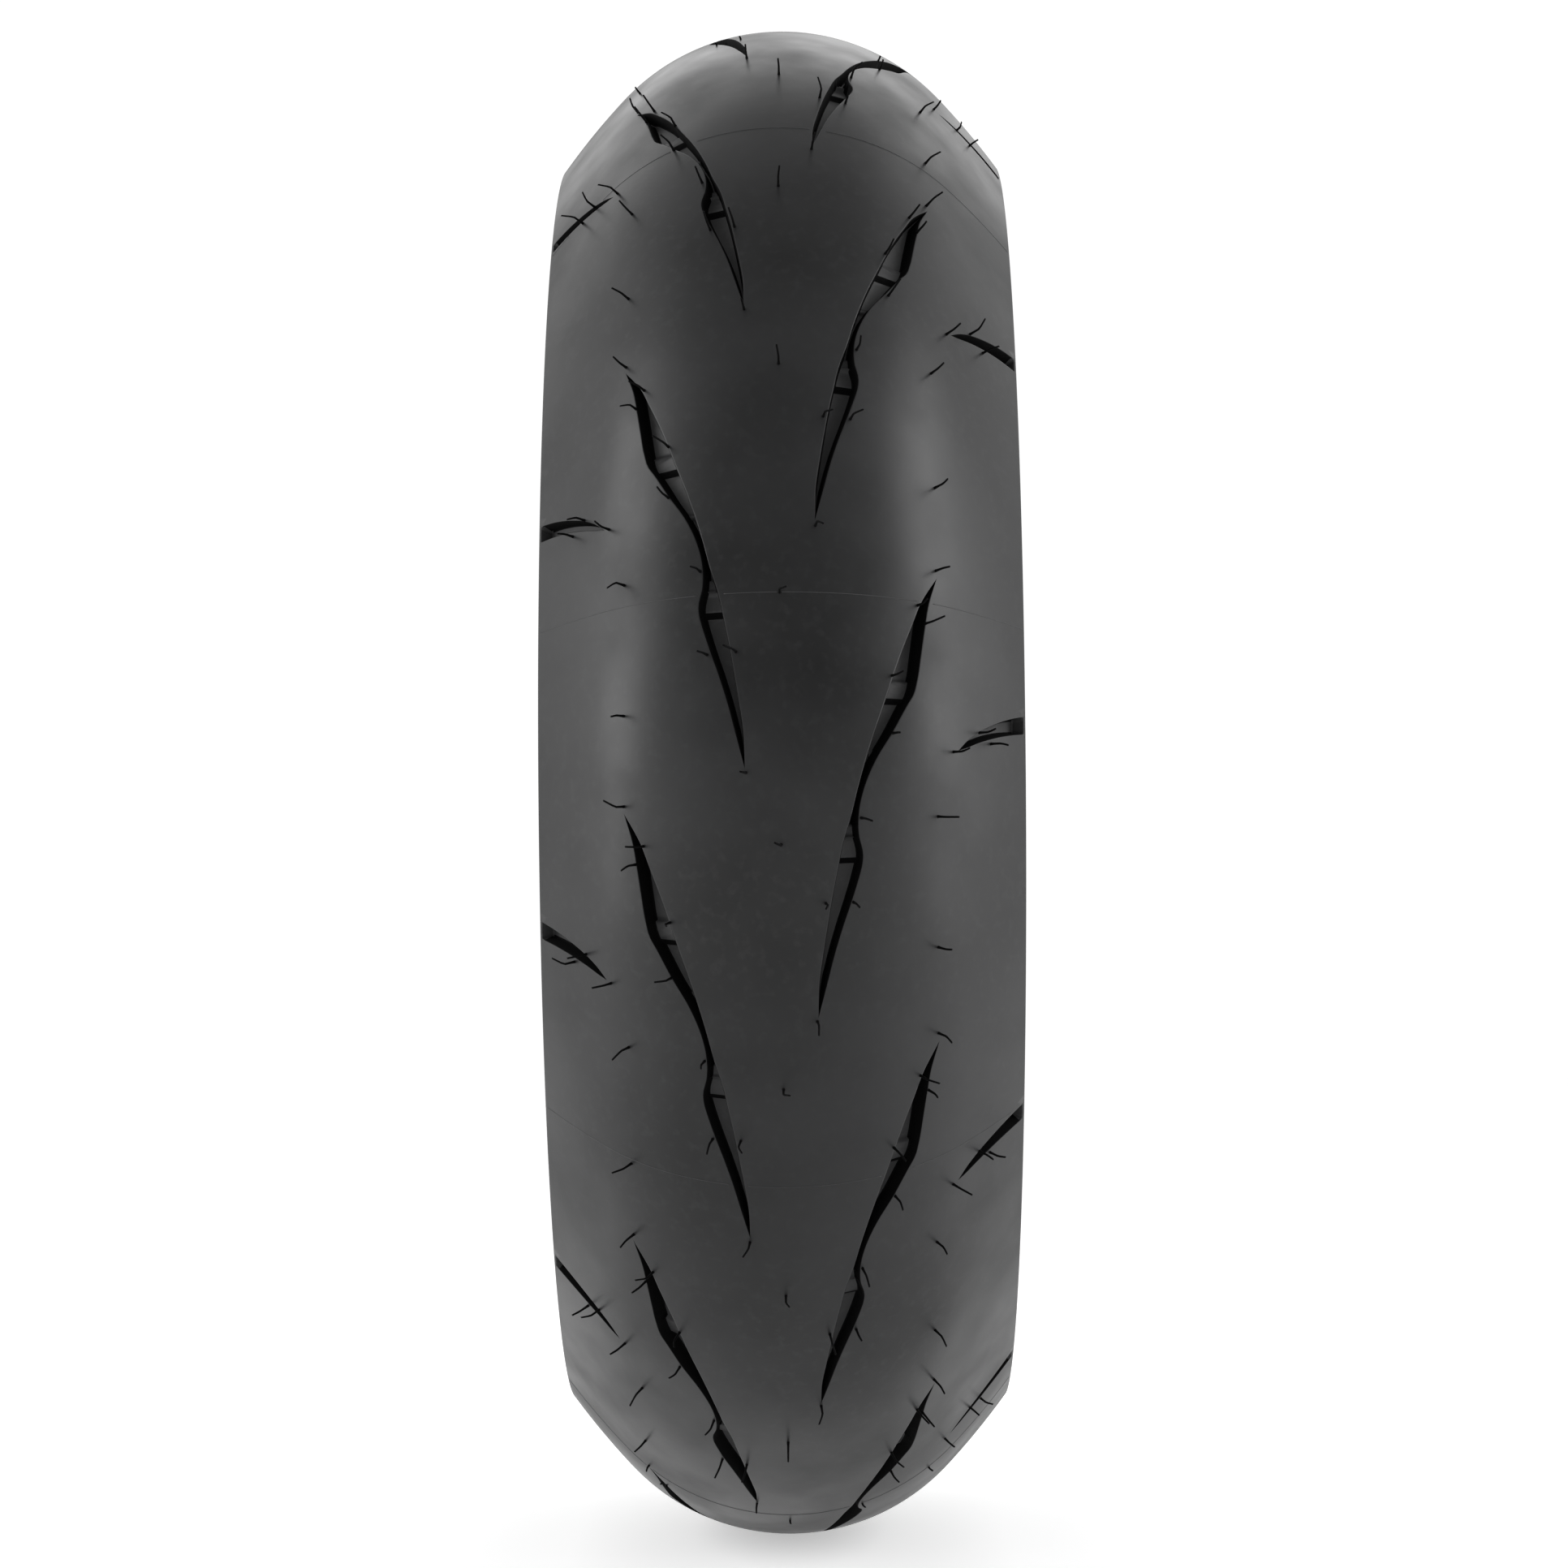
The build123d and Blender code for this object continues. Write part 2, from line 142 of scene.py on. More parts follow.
WEAR_BAR_FALL = 2.2             # length of the slope at a bar's far end
STEPS = ((66.5, 68.5, 0.8), (93.5, 97.9, 2.0))     # other rises in its floor: start, end, height
RAMP = 0.35

# Edges of the shoulder slot: (arc from the middle of the tread, way round from the same tip).
SLOT_UPPER = ((70.5, 66.1), (75, 62.3), (80, 59.2), (90, 54.8), (100, 51.6), (110.1, 49.4))
SLOT_LOWER = ((70.5, 66.1), (75, 64.9), (80, 63.2), (90, 60.5), (100, 58.6), (110.1, 57.4))
SLOT_DEPTH = 5.0
SLOT_END = 109.2
SLOT_UPPER_SLOPE = 1.5          # how much further the slot's walls slope in than the groove's do
SLOT_LOWER_SLOPE = 2.3
SLOT_OUTER_SLOPE = 1.3          # the same for its lower wall at the slot's outer end

# Rings down the wall of a groove or slot: (distance in from its edge, share of the way down).
RIM_RINGS = ((-0.45, 0.0), (0.0, 0.0), (0.16, 0.02), (0.27, 0.08), (0.60, 0.88), (0.82, 0.98), (1.2, 1.0))
RING_REACH = RIM_RINGS[-1][0]
FIRST_WALL_RING = 2
DEEP_RING = 4                   # the first ring whose points at the pointed ends lie below the surface
TIP_DEPTH = 0.4
GROOVE_STEP = 2.0               # spacing of points along grooves and slots
GROOVE_TIP_GAP = 2.2            # from a pointed end to the first two points beside it
SLOT_TIP_GAP = 1.6
SLOT_END_GAP = 2.0
END_SHARE = 0.25                # share of the full depth where a groove or slot has no width
GROOVE_FULL_HALF = 1.6          # half of the width that adds the rest of it
SLOT_FULL_WIDTH = 3.2
TIP_STEP = 0.35                 # how far each ring's pointed end lies inside the last ring's
SLOT_TIP_STEP = 0.3

GRID = 4.0                      # spacing of the points between grooves
ROW_SHARE = 0.87                # spacing of their rows, as a share of it
CLEARANCE = 1.6                 # from those points to a groove or slot
COLUMNS = 60                    # columns in one pitch where two halves of the tread meet
COLUMN = PITCH / COLUMNS
SEAM_PLACE = -3 * COLUMN        # where one pitch's sheet starts, before the outer tip of its groove
EDGE_MARGIN = 0.6               # rows of points either side of the tread edge
WING_MARGIN = 4.0               # and one below it
ACROSS_COUNT = 28


def smooth_curve(points, at):
    """A smooth curve through a few points, read at many places."""
    x, y = np.array(points, float).T
    slope = np.gradient(y, x)
    at = np.clip(at, x[0], x[-1])
    i = np.clip(np.searchsorted(x, at) - 1, 0, len(x) - 2)
    step = x[i + 1] - x[i]
    u = (at - x[i]) / step
    return (y[i] * (1 + 2 * u) * (1 - u) ** 2 + slope[i] * step * u * (1 - u) ** 2
            + y[i + 1] * u * u * (3 - 2 * u) + slope[i + 1] * step * u * u * (u - 1))


def rise(at, start, end, fall=RAMP):
    """0 outside a stretch, 1 on it, with a short ramp before its start and a slope after its end."""
    return np.clip((at - start) / RAMP + 1, 0, 1) * np.clip((end - at) / fall + 1, 0, 1)


def groove_floor(at):
    floor = np.full_like(at, GROOVE_DEPTH)
    for start, end in WEAR_BARS:
        floor -= WEAR_BAR_HEIGHT * rise(at, start, end, WEAR_BAR_FALL)
    for start, end, height in STEPS:
        floor -= height * rise(at, start, end)
    return floor


def places_along(first, last, step, extra):
    """Even places from first to last, with some exact ones among them."""
    even = np.linspace(first, last, int((last - first) / step) + 1)
    keep = [p for p in even if all(abs(p - e) > 0.3 * step for e in extra)]
    return np.array(sorted(keep + [e for e in extra if first < e < last]))


class Sheet:
    """Points and edges of a flat, unrolled pattern. Each point has its depth and its ring down a wall."""

    def __init__(self):
        self.points, self.depths, self.rings, self.edges = [], [], [], []

    def add(self, arc, along, depth=0.0, ring=0):
        self.points.append((float(arc), float(along)))
        self.depths.append(float(depth))
        self.rings.append(ring)
        return len(self.points) - 1

    def chain(self, numbers, close=False):
        self.edges += list(zip(numbers, numbers[1:]))
        if close:
            self.edges.append((numbers[-1], numbers[0]))


def add_groove(sheet):
    """The long groove: rings of points nested down its wall, closed at both pointed tips."""
    extra = [p for start, end in WEAR_BARS for p in (start - RAMP, start, end, end + WEAR_BAR_FALL)]
    extra += [p for start, end, _ in STEPS for p in (start - RAMP, start, end, end + RAMP)]
    first, last = GROOVE_OUTER[0][0], GROOVE_OUTER[-1][0]
    along = places_along(first + GROOVE_TIP_GAP, last - GROOVE_TIP_GAP, GROOVE_STEP, extra)
    outer, inner = smooth_curve(GROOVE_OUTER, along), smooth_curve(GROOVE_INNER, along)
    middle, half = (outer + inner) / 2, (outer - inner) / 2
    shrink = np.minimum(1, half / (1.3 * RING_REACH))
    floor = groove_floor(along) * np.minimum(1, END_SHARE + half / GROOVE_FULL_HALF)
    for n, (inset, share) in enumerate(RIM_RINGS):
        reach = half - inset * shrink
        ends, deep = TIP_STEP * (n - 1), 0.0 if n < DEEP_RING else TIP_DEPTH
        tips = [sheet.add(GROOVE_OUTER[0][1] - 0.4 * ends, first + ends, deep, n),
                sheet.add(GROOVE_OUTER[-1][1] + 0.1 * ends, last - ends, deep, n)]
        up = [sheet.add(middle[i] + reach[i], along[i], share * floor[i], n) for i in range(len(along))]
        down = [sheet.add(middle[i] - reach[i], along[i], share * floor[i], n) for i in range(len(along))]
        sheet.chain([tips[0]] + up + [tips[1]] + down[::-1], close=True)
        if n == len(RIM_RINGS) - 1:
            for i, place in enumerate(along):
                if any(abs(place - e) < 0.01 for e in extra):
                    sheet.chain([up[i], down[i]])


def add_slot(sheet):
    """The shoulder slot: rings of points down its wall, with a pointed inner and a square outer end."""
    arcs = places_along(SLOT_UPPER[0][0] + SLOT_TIP_GAP, SLOT_END - SLOT_END_GAP, GROOVE_STEP, [])
    for n, (inset, share) in enumerate(RIM_RINGS):
        at = np.append(arcs, SLOT_END - inset)
        upper, lower = smooth_curve(SLOT_UPPER, at), smooth_curve(SLOT_LOWER, at)
        width = lower - upper
        shrink = np.minimum(1, width / (2.0 * RING_REACH * (SLOT_UPPER_SLOPE + SLOT_LOWER_SLOPE)))
        if n >= FIRST_WALL_RING:
            upper = upper + inset * shrink * SLOT_UPPER_SLOPE
            lower = lower - inset * shrink * np.interp(
                at, (SLOT_UPPER[3][0], SLOT_END), (SLOT_LOWER_SLOPE, SLOT_OUTER_SLOPE))
        else:
            upper, lower = upper + inset * shrink, lower - inset * shrink
        depth = share * SLOT_DEPTH * np.minimum(1, END_SHARE + width / SLOT_FULL_WIDTH)
        ends, deep = SLOT_TIP_STEP * (n - 1), 0.0 if n < DEEP_RING else TIP_DEPTH
        tip = sheet.add(SLOT_UPPER[0][0] + ends, SLOT_UPPER[0][1] - 0.5 * ends, deep, n)
        up = [sheet.add(at[i], upper[i], depth[i], n) for i in range(len(at))]
        down = [sheet.add(at[i], lower[i], depth[i], n) for i in range(len(at))]
        across = [sheet.add(at[-1], upper[-1] + (lower[-1] - upper[-1]) * u, depth[-1], n)
                  for u in (0.25, 0.5, 0.75)]
        sheet.chain([tip] + up + across + down[::-1], close=True)


def inside_pattern(arc, along, margin):
    """Whether a place on the tread is in the groove or the slot, or within a margin of one."""
    if GROOVE_OUTER[0][0] - margin < along < GROOVE_OUTER[-1][0] + margin:
        if smooth_curve(GROOVE_INNER, along) - margin < arc < smooth_curve(GROOVE_OUTER, along) + margin:
            return True
    if SLOT_UPPER[0][0] - margin < arc < SLOT_END + margin:
        if smooth_curve(SLOT_UPPER, arc) - margin < along < smooth_curve(SLOT_LOWER, arc) + margin:
            return True
    return False


def pattern_sheet():
    """One pitch of one side of the tread, from its middle line to the lip below its edge."""
    sheet = Sheet()
    steps = SEAM_PLACE + np.arange(COLUMNS + 1) * COLUMN
    across = list(np.linspace(0, EDGE_ARC - EDGE_MARGIN, ACROSS_COUNT))
    across += [EDGE_ARC, EDGE_ARC + EDGE_MARGIN, EDGE_ARC + WING_MARGIN, LIP_ARC]
    for column in (0, -1):
        sheet.chain([sheet.add(a, steps[column]) for a in across])
    for arc in (0.0, LIP_ARC):
        sheet.chain([sheet.add(arc, t) for t in steps])
    add_slot(sheet)
    add_groove(sheet)
    sheet.chain([sheet.add(EDGE_ARC, t) for t in steps])
    rows = [(EDGE_ARC + margin, COLUMN, 0) for margin in (-EDGE_MARGIN, EDGE_MARGIN, WING_MARGIN)]
    inner_rows = np.arange(GRID, EDGE_ARC - GRID / 2, GRID * ROW_SHARE)
    rows += [(arc, GRID, (row + 1) % 2 * GRID / 4) for row, arc in enumerate(inner_rows)]
    for arc, spacing, shift in rows:
        end = SEAM_PLACE + PITCH - 0.4 * spacing
        for along in np.arange(SEAM_PLACE + spacing + shift, end, spacing):
            if arc > EDGE_ARC or not inside_pattern(arc, along, CLEARANCE):
                sheet.add(arc, along)
    return sheet


ROAD, PAINTED_SHADE, PAINTED_LIGHT = 0, 1, 2     # tones of the tread: road surface, painted shade on walls and below wear bars, and floors painted lighter as painted light


def triangulated(sheet):
    """Points, depths and triangles of the sheet, and each triangle's tone among road surface, painted shade
    and painted light.
    """
    points, _, faces, origins, _, _ = delaunay_2d_cdt(
        [Vector(p) for p in sheet.points], sheet.edges, [], 0, 1e-5)
    depths = [max(sheet.depths[o] for o in origin) if origin else 0.0 for origin in origins]
    rings = [max(sheet.rings[o] for o in origin) if origin else 0 for origin in origins]
    faces = [f for f in faces if len(f) == 3]
    painted_tones = []
    for face in faces:
        lowest, highest = min(rings[n] for n in face), max(rings[n] for n in face)
        arc, along = (sum(points[n][i] for n in face) / 3 for i in (0, 1))
        # The slot's end wall gets the floor rubber, lighter than the tread: painted light.
        at_slot_end = arc > SLOT_END - RING_REACH
        # Faces on the slope after a wear bar's far end get the dark wall rubber: a painted shadow below the
        # bar.
        below_bar = arc < SLOT_UPPER[0][0] and any(
            end < along < end + WEAR_BAR_FALL for _, end in WEAR_BARS)
        if highest < FIRST_WALL_RING:
            painted_tones.append(ROAD)
        elif at_slot_end or (lowest == len(RIM_RINGS) - 1 and not below_bar):
            painted_tones.append(PAINTED_LIGHT)
        else:
            painted_tones.append(PAINTED_SHADE)
    return points, depths, faces, painted_tones


WING_INSIDE = (LIP_ARC - 4.0, 5.0)      # a point inside the tread wing: arc and depth
WING_SETBACK = 9.0
UNDERSIDE_COUNT = 15
FLIP = np.array([-1.0, 1.0])            # from the right side to the left


def tread_underside():
    """(axle, radius) from the right lip, under the tread, to the left lip."""
    arcs = np.linspace(EDGE_ARC - WING_SETBACK, 0, UNDERSIDE_COUNT)
    right = [section_point(*WING_INSIDE)] + [section_point(a, TREAD_CAP) for a in arcs]
    return right + [p * FLIP for p in right[-2::-1]]


def tread_mesh():
    points, depths, faces, painted_tones = triangulated(pattern_sheet())
    places, triangles, painted_tone_of = [], [], []
    for side, first_tip in ((1, RIGHT_TIP), (-1, LEFT_TIP)):
        for pitch in range(PITCHES):
            tip = first_tip + pitch * 2 * math.pi / PITCHES
            offset = len(places)
            places += [on_tire(p[0], p[1], d, side, tip) for p, d in zip(points, depths)]
            triangles += [[offset + n for n in (f if side < 0 else f[::-1])] for f in faces]
            painted_tone_of += painted_tones
    columns = COLUMNS * PITCHES
    start = RIGHT_TIP - SEAM_PLACE / OUTER_RADIUS
    lips = [section_point(LIP_ARC), *tread_underside(), section_point(LIP_ARC) * FLIP]
    offset = len(places)
    for axle, radius in lips:
        for c in range(columns):
            turn = start - c * 2 * math.pi / columns
            places.append(Vector((radius * math.cos(turn), axle, radius * math.sin(turn))) * MM)
    for row in range(len(lips) - 1):
        for c in range(columns):
            a, b = offset + row * columns + c, offset + row * columns + (c + 1) % columns
            triangles.append([a, b, b + columns, a + columns])
            painted_tone_of.append(ROAD)
    mesh = bpy.data.meshes.new("tread")
    mesh.from_pydata(places, [], triangles)
    mesh.polygons.foreach_set("material_index", painted_tone_of)
    return mesh


def finished(mesh, name, *materials, weld=0.02 * MM):
    """Welds and smooths a mesh, and makes an object of it that rides on the tire."""
    for material in materials:
        mesh.materials.append(material)
    work = bmesh.new()
    work.from_mesh(mesh)
    if weld:
        bmesh.ops.remove_doubles(work, verts=work.verts, dist=weld)
    bmesh.ops.recalc_face_normals(work, faces=work.faces)
    work.to_mesh(mesh)
    work.free()
    mesh.shade_smooth()
    mesh.name = name
    piece = bpy.data.objects.new(name, mesh)
    bpy.context.scene.collection.objects.link(piece)
    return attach(piece, "root")


# ---- materials ------------------------------------------------------------------------------------
def remapped(tree, value, low, high, new_low, new_high):
    """A node that turns values from low to high into values from new_low to new_high."""
    node = tree.nodes.new("ShaderNodeMapRange")
    for name, number in (("From Min", low), ("From Max", high), ("To Min", new_low), ("To Max", new_high)):
        node.inputs[name].default_value = number
    tree.links.new(value, node.inputs["Value"])
    return node.outputs["Result"]


class Nodes:
    """A material's node tree, with short calls to add and join its nodes."""

    def __init__(self, name):
        self.material = bpy.data.materials.new(name)
        self.material.use_nodes = True
        self.tree = self.material.node_tree
        self.shader = self.tree.nodes["Principled BSDF"]
        self.place = self.node("ShaderNodeTexCoord").outputs["Object"]

    def node(self, kind, **inputs):
        node = self.tree.nodes.new(kind)
        for key, value in inputs.items():
            node.inputs[key.replace("_", " ")].default_value = value
        return node

    def join(self, output, node, name):
        self.tree.links.new(output, node.inputs[name])

    def noise(self, scale, detail=2.0):
        noise = self.node("ShaderNodeTexNoise", Scale=scale, Detail=detail)
        self.join(self.place, noise, "Vector")
        return noise.outputs["Fac"]

    def remap(self, value, low, high, new_low, new_high):
        return remapped(self.tree, value, low, high, new_low, new_high)

    def mix(self, factor, first, second):
        node = self.tree.nodes.new("ShaderNodeMix")
        node.data_type = "RGBA"
        for n, colour in ((6, first), (7, second)):
            if isinstance(colour, bpy.types.NodeSocket):
                self.tree.links.new(colour, node.inputs[n])
            else:
                node.inputs[n].default_value = (*colour, 1)
        self.join(factor, node, 0)
        return node.outputs[2]

    def bump(self, height, strength, distance, under=None):
        node = self.node("ShaderNodeBump", Strength=strength, Distance=distance)
        self.join(height, node, "Height")
        if under:
            self.join(under, node, "Normal")
        return node.outputs["Normal"]


ROUGH_SPREAD = 0.08


def rubber(name, dark, light, rough, specular=0.35, mottle=7.0, grain=1400.0, relief=0.3):
    """Moulded rubber: cloudy tone, fine grain, and a little roughness change where it was handled."""
    n = Nodes(name)
    clouds = n.noise(mottle, 4.0)
    specks = n.noise(260.0, 3.0)
    colour = n.mix(n.remap(clouds, 0.35, 0.68, 0, 1), dark, light)
    pale = tuple(1.25 * c for c in light)
    n.join(n.mix(n.remap(specks, 0.52, 0.78, 0, 0.5), colour, pale), n.shader, "Base Color")
    handled = n.noise(mottle * 1.7, 3.0)
    n.join(n.remap(handled, 0.35, 0.65, rough - ROUGH_SPREAD, rough + ROUGH_SPREAD), n.shader, "Roughness")
    coarse = n.bump(n.noise(130.0, 4.0), relief * 0.5, 0.12 * MM)
    n.join(n.bump(n.noise(grain, 2.0), relief, 0.05 * MM, coarse), n.shader, "Normal")
    n.shader.inputs["Specular IOR Level"].default_value = specular
    return n.material


def metal(name, dark, light, rough):
    """Drawn wire: brassy, with fine streaks."""
    n = Nodes(name)
    n.join(n.mix(n.remap(n.noise(420.0, 4.0), 0.3, 0.7, 0, 1), dark, light), n.shader, "Base Color")
    n.join(n.remap(n.noise(900.0, 3.0), 0.3, 0.7, rough - 0.08, rough + 0.1), n.shader, "Roughness")
    n.join(n.bump(n.noise(2200.0), 0.2, 0.04 * MM), n.shader, "Normal")
    n.shader.inputs["Metallic"].default_value = 1.0
    return n.material


def cord_fabric(name, dark, light, pitch):
    """Rubbered cord fabric: radial cords that show as fine ridges round the tire."""
    n = Nodes(name)
    waves = n.node("ShaderNodeTexWave", Scale=1 / (pitch * MM) / 20, Distortion=0.4)
    waves.bands_direction = "X"
    n.join(n.place, waves, "Vector")
    cloth = n.mix(n.remap(waves.outputs["Fac"], 0.2, 0.8, 0, 1), dark, light)
    n.join(n.mix(n.remap(n.noise(60.0, 4.0), 0.4, 0.7, 0, 0.6), cloth, dark), n.shader, "Base Color")
    n.join(n.bump(waves.outputs["Fac"], 0.4, 0.2 * MM), n.shader, "Normal")
    n.shader.inputs["Roughness"].default_value = 0.8
    return n.material


# ---- lathed pieces: sidewalls, rim cushions, liner ------------------------------------------------
LATHE_COLUMNS = 264


def arc_points(centre, radius, first, last, step=1.0):
    """Points of an arc. A hollow arc has a negative radius."""
    count = max(2, int(abs(math.radians(last - first) * radius) / step) + 1)
    return [centre + outward(a) * radius for a in np.linspace(first, last, count)]


def line_points(start, end, step=1.0):
    count = max(2, int(np.linalg.norm(end - start) / step) + 1)
    return [start + (end - start) * u for u in np.linspace(0, 1, count)]


def tangent_turn(first, second):
    """Angle of the normal where a straight run leaves one bend for the next."""
    (c1, r1), (c2, r2) = first, second
    way = c2 - c1
    return math.degrees(math.atan2(way[0], way[1]) - math.acos((r1 - r2) / np.hypot(*way))) % 360


def wall_outline():
    """The sidewall's outer face, from the tread wing down to the seam with the rim cushion."""
    turn = tangent_turn((BULGE_CENTRE, BULGE_RADIUS), (FLANGE_CENTRE, -FLANGE_BEND))
    bulge = arc_points(BULGE_CENTRE, BULGE_RADIUS, WING_TURN, turn, 0.3)
    hollow = arc_points(FLANGE_CENTRE, -FLANGE_BEND, turn, CUSHION_TURN, 0.3)
    return bulge + line_points(bulge[-1], hollow[0], 0.3)[1:-1] + hollow


TOE = ((51.3, 215.6), (50.75, 215.68), (50.42, 216.0), (50.28, 216.45), (50.3, 217.0))


def cushion_outline():
    """The rim cushion's outer face: flange side, heel, seat, toe and up the inner face of the bead."""
    flange = arc_points(FLANGE_CENTRE, -FLANGE_BEND, CUSHION_TURN, 90, 0.6)
    heel = arc_points(HEEL_CENTRE, HEEL_RADIUS, 90, 180, 0.6)
    seat = line_points(heel[-1], heel[-1] - np.array([SEAT_LENGTH, 0.0]), 1.2)
    toe = [np.array(p) for p in TOE]
    inner = line_points(toe[-1], LINER_FOOT, 1.2)
    return flange + line_points(flange[-1], heel[0], 1.2)[1:-1] + heel + seat[1:] + toe + inner[1:]


CARCASS_TURN = 51.0
CARCASS_BEND = 15.0
CAVITY_OFFSET = -3.1
LINER_THICKNESS = 0.8
RUN_DEPTH = 8.7
BEAD_BEND_CENTRE = np.array([65.3, 226.8])
BEAD_BEND = 8.0
LINER_TURN = 100.0
WALL_CENTRE = SHOULDER_CENTRE + outward(CARCASS_TURN) * (SHOULDER_RADIUS - RUN_DEPTH - CARCASS_BEND)
LINER_FOOT = BEAD_BEND_CENTRE + outward(LINER_TURN) * (CAVITY_OFFSET - BEAD_BEND)


def cavity_outline(offset):
    """The wall of the air cavity, or a surface behind it, from the middle down to the right bead."""
    turn = tangent_turn((WALL_CENTRE, CARCASS_BEND), (BEAD_BEND_CENTRE, -BEAD_BEND))
    crown = arc_points(CROWN_CENTRE, CROWN_RADIUS - RUN_DEPTH + offset, 0, CROWN_TURN, 4.0)
    shoulder = arc_points(
        SHOULDER_CENTRE, SHOULDER_RADIUS - RUN_DEPTH + offset, CROWN_TURN, CARCASS_TURN, 4.0)
    wall = arc_points(WALL_CENTRE, CARCASS_BEND + offset, CARCASS_TURN, turn, 1.2)
    bead = arc_points(BEAD_BEND_CENTRE, offset - BEAD_BEND, turn, LINER_TURN, 1.0)
    return crown + shoulder[1:] + wall[1:] + line_points(wall[-1], bead[0], 3.0)[1:-1] + bead


def normals_of(outline):
    points = np.array(outline)
    way = np.gradient(points, axis=0)
    way /= np.linalg.norm(way, axis=1)[:, None]
    return np.stack([-way[:, 1], way[:, 0]], axis=1)


def thickened(outline, thickness):
    """A closed outline: the run of points, and the same run set back by a thickness."""
    points, normals = np.array(outline), normals_of(outline)
    back = points - normals * thickness
    return list(points) + list(back[::-1])


def ribbed(outline, ribs):
    """The outline with rounded ribs: (distance along it, width, height). A negative height is a groove."""
    points, normals = np.array(outline), normals_of(outline)
    way = np.concatenate([[0], np.cumsum(np.linalg.norm(np.diff(points, axis=0), axis=1))])
    for place, width, height in ribs:
        reach = np.clip(np.abs(way - place) / (width / 2), 0, 1)
        points = points + normals * (height * (1 - reach ** 4) ** 2)[:, None]
    return list(points)


def lathed(outline, name, side=1, columns=LATHE_COLUMNS):
    """A closed outline turned round the axle."""
    places, faces = [], []
    count = len(outline)
    for c in range(columns):
        turn = c * 2 * math.pi / columns
        places += [Vector((r * math.cos(turn), side * y, r * math.sin(turn))) * MM for y, r in outline]
        ahead = (c + 1) % columns
        for i in range(count):
            j = (i + 1) % count
            faces.append((c * count + i, c * count + j, ahead * count + j, ahead * count + i))
    mesh = bpy.data.meshes.new(name)
    mesh.from_pydata(places, [], faces)
    return mesh


# Rings on the sidewall: (distance down from the tread wing, width, height).
WALL_RIBS = ((1.2, 1.6, -0.5), (4.6, 1.0, 0.35), (6.6, 1.0, 0.35), (16.5, 1.8, 0.8))


def make_wall(side, word, material):
    outline = ribbed(wall_outline(), WALL_RIBS)
    piece = finished(lathed(thickened(outline, -2.0), "wall", side), f"sidewall_rubber_{word}", material)
    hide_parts(f"sidewall_{word}")
    return piece


def make_cushion(side, word, material):
    outline = thickened(cushion_outline(), -1.0)
    piece = finished(lathed(outline, "cushion", side), f"rim_cushion_rubber_{word}", material)
    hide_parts(f"rim_cushion_{word}")
    return piece


def make_liner(material):
    near, far = cavity_outline(CAVITY_OFFSET), cavity_outline(CAVITY_OFFSET + LINER_THICKNESS)
    right = near[::-1] + [p * FLIP for p in near[1:]]
    back = [p * FLIP for p in far[::-1]] + far[1:]
    piece = finished(lathed(right + back, "liner"), "inner_liner_rubber", material)
    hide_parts("inner_liner")
    return piece


# ---- hairs left by the mould's air vents, and the flash lines between its sectors -----------------
# Vents on one pitch of one side: (arc from the middle of the tread, way round from the groove's tip).
VENTS = (
    (60.5, -3.5), (52, 11.5), (55.5, 18.5), (41, 39), (41.5, 60.5), (68, 66.5), (82, 58), (89, 63),
    (60, 91), (29, 91), (26, 121.5), (16, 121.5), (60.5, 142), (12.5, 164.5),
)
MIDDLE_VENTS = (10.0, 100.0)
HAIR_HEIGHT = 8.8
# Hairs get shorter towards the top and the bottom. They are full where the way out from the axle has
# the first share along X, and gone where it has the second.
HAIRS_FULL = 0.52
HAIRS_END = 0.26
HAIR_RADIUS = 0.55
HAIR_RINGS = 7
HAIR_SIDES = 7
HAIR_ROOT = 0.4                 # how deep in the rubber a hair starts
HAIR_LENGTHS = (0.85, 1.1)      # shares of its height, at random
HAIR_BENDS = (0.1, 0.75)
HAIR_JITTER = 0.4
SHORTEST_HAIR = 0.1
KINK = 0.55                     # share of the way up a hair where it bends


def flat_normal(arc, along, side, tip):
    return (on_tire(arc, along, -1.0, side, tip) - on_tire(arc, along, 0.0, side, tip)).normalized()


def hair(places, faces, arc, along, side, tip):
    """One vent hair: a thin stem that kinks part of the way up, rooted just inside the rubber."""
    root, normal = on_tire(arc, along, HAIR_ROOT, side, tip), flat_normal(arc, along, side, tip)
    lean = Vector([random.gauss(0, 1) for _ in range(3)]).cross(normal).normalized()
    facing = abs(root.x) / math.hypot(root.x, root.z)
    share = min(1.0, (facing - HAIRS_END) / (HAIRS_FULL - HAIRS_END))
    height = HAIR_HEIGHT * random.uniform(*HAIR_LENGTHS) * share * MM
    bend = random.uniform(*HAIR_BENDS)
    if share < SHORTEST_HAIR:
        return
    sideways = normal.cross(lean)
    offset = len(places)
    for ring in range(HAIR_RINGS):
        u = ring / (HAIR_RINGS - 1)
        middle = root + normal * height * u + lean * height * bend * max(0, u - KINK)
        radius = HAIR_RADIUS * MM * (1.15 - 0.3 * min(1, u * 5) - 0.2 * u)
        for k in range(HAIR_SIDES):
            angle = 2 * math.pi * k / HAIR_SIDES
            places.append(middle + (lean * math.cos(angle) + sideways * math.sin(angle)) * radius)
    for ring in range(HAIR_RINGS - 1):
        for k in range(HAIR_SIDES):
            a, b = offset + ring * HAIR_SIDES + k, offset + ring * HAIR_SIDES + (k + 1) % HAIR_SIDES
            faces.append((a, b, b + HAIR_SIDES, a + HAIR_SIDES))
    faces.append(tuple(offset + k for k in reversed(range(HAIR_SIDES))))
    faces.append(tuple(offset + (HAIR_RINGS - 1) * HAIR_SIDES + k for k in range(HAIR_SIDES)))


